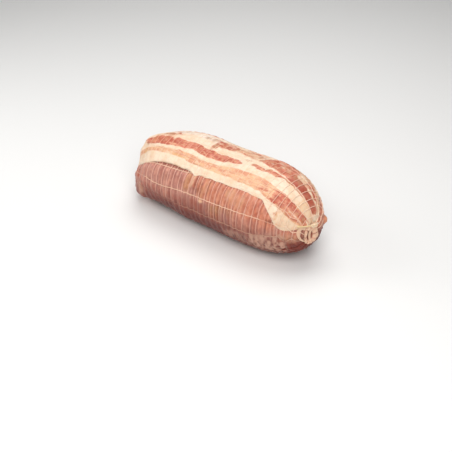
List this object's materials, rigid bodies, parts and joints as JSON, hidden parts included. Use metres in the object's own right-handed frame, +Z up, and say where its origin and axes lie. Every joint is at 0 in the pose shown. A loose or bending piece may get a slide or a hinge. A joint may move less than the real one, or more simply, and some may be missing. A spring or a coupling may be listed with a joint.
{
  "type": "duck roll",
  "caption": "Raw rolled duck roast: a lean meat roll with a streaky belly sheet over the top, held in a fine elastic net that is gathered and tied at the ends.",
  "frame": {"origin": "middle of the roll's length and width, on the surface it lies on", "axes": "+X along the roll to the end with the string, +Z up, +Y to the back"},
  "size_m": [0.2518, 0.1078, 0.0938],
  "materials": {
    "lean_meat": "moist raw lean meat, satin",
    "belly": "moist raw fat streaked with lean, satin",
    "net_thread": "covered elastic thread, damp",
    "string": "twisted cotton string, damp"
  },
  "bodies": {
    "root": {"meat_roll": "lean_meat", "belly_sheet": "belly", "net": "net_thread", "net_gather_near": "net_thread", "net_gather_far": "net_thread", "tie_string": "string"}
  },
  "joints": []
}
